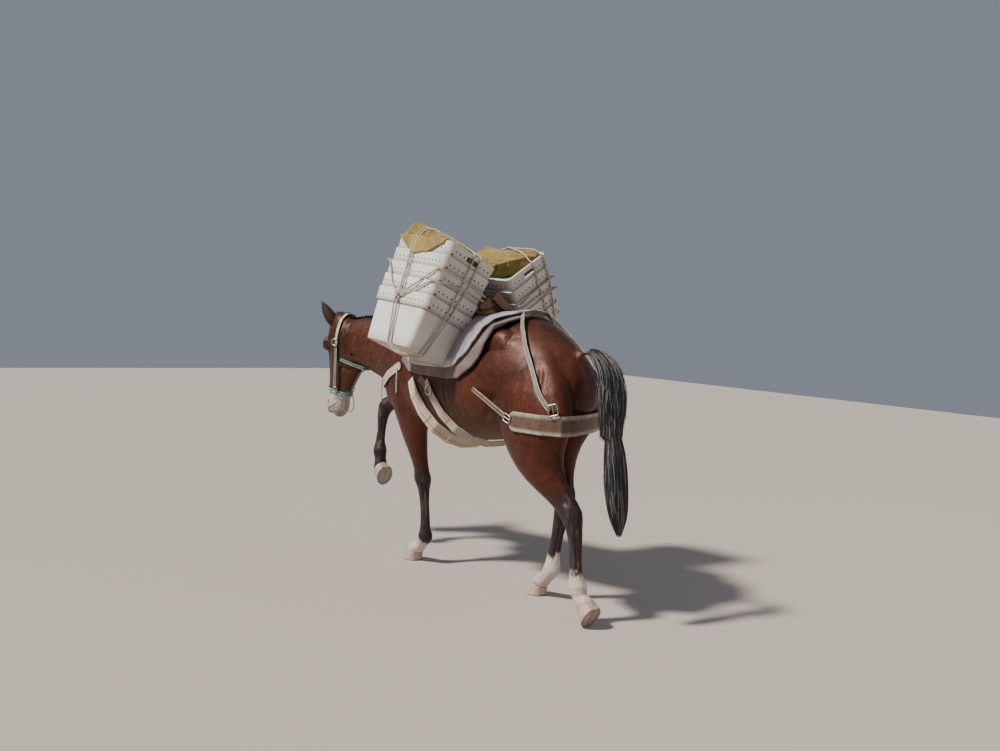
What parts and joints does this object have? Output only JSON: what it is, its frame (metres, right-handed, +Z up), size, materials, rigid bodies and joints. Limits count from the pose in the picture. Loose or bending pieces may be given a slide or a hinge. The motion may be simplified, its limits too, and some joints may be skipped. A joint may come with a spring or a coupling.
{
  "type": "pack mule",
  "caption": "Life-size still model of a bay mule stepping up with one foreleg lifted, carrying stacks of nested tubs lashed to a packsaddle.",
  "frame": {"origin": "on the floor under the middle of the whole model's box", "axes": "+Z up, +X the way the mule walks, +Y its left side"},
  "size_m": [2.4448, 1.1294, 1.8585],
  "materials": {
    "coat": "short dark bay hair, black points",
    "horn": "worn pale hoof horn",
    "eye": "wet, dark brown",
    "tail_hair": "black and grey hair",
    "tub_plastic": "dusty white moulded plastic",
    "canvas": "khaki duck canvas",
    "green_cloth": "woven sack cloth",
    "felt": "dark brown felt",
    "blanket": "greyish wool, pale hem",
    "wood": "oiled hardwood",
    "leather": "dusty harness leather",
    "webbing": "faded flat webbing",
    "green_webbing": "faded green nylon webbing",
    "rope": "laid cotton rope",
    "steel": "worn bright steel",
    "brass": "dull brass"
  },
  "bodies": {
    "root": {"torso": "coat", "neck": "coat", "head": "coat", "foreleg_left": "coat", "foreleg_right": "coat", "hindleg_left": "coat", "hindleg_right": "coat", "ear_left": "coat", "ear_right": "coat", "hoof_front_left": "horn", "hoof_front_right": "horn", "hoof_hind_left": "horn", "hoof_hind_right": "horn", "eye_left": "eye", "eye_right": "eye", "tail": "tail_hair", "tail_switch": "tail_hair", "tub_left_1": "tub_plastic", "tub_left_2": "tub_plastic", "tub_left_3": "tub_plastic", "tub_left_4": "tub_plastic", "tub_left_5": "tub_plastic", "tub_right_1": "tub_plastic", "tub_right_2": "tub_plastic", "tub_right_3": "tub_plastic", "tub_right_4": "tub_plastic", "tub_right_5": "tub_plastic", "manty_left": "canvas", "manty_right": "canvas", "sack_right": "green_cloth", "saddle_pad": "felt", "saddle_blanket": "blanket", "packsaddle": "wood", "breeching": "leather", "hip_strap": "webbing", "quarter_strap_left": "leather", "quarter_strap_right": "leather", "latigo_left": "leather", "cinch_front": "rope", "cinch_rear": "rope", "breast_collar": "webbing", "halter_headstall": "green_webbing", "halter_noseband": "green_webbing", "halter_throat": "green_webbing", "halter_jaw_strap": "green_webbing", "hip_buckle_left": "steel", "hip_buckle_right": "steel", "quarter_buckle_left": "steel", "quarter_buckle_right": "steel", "cinch_ring_left": "steel", "halter_ring_left": "steel", "halter_ring_right": "steel", "chin_chain": "steel", "halter_slide_left": "brass", "halter_slide_right": "brass", "lashing_left": "rope", "lashing_right": "rope", "rope_end_front": "rope", "rope_end_side": "rope"}
  },
  "joints": []
}
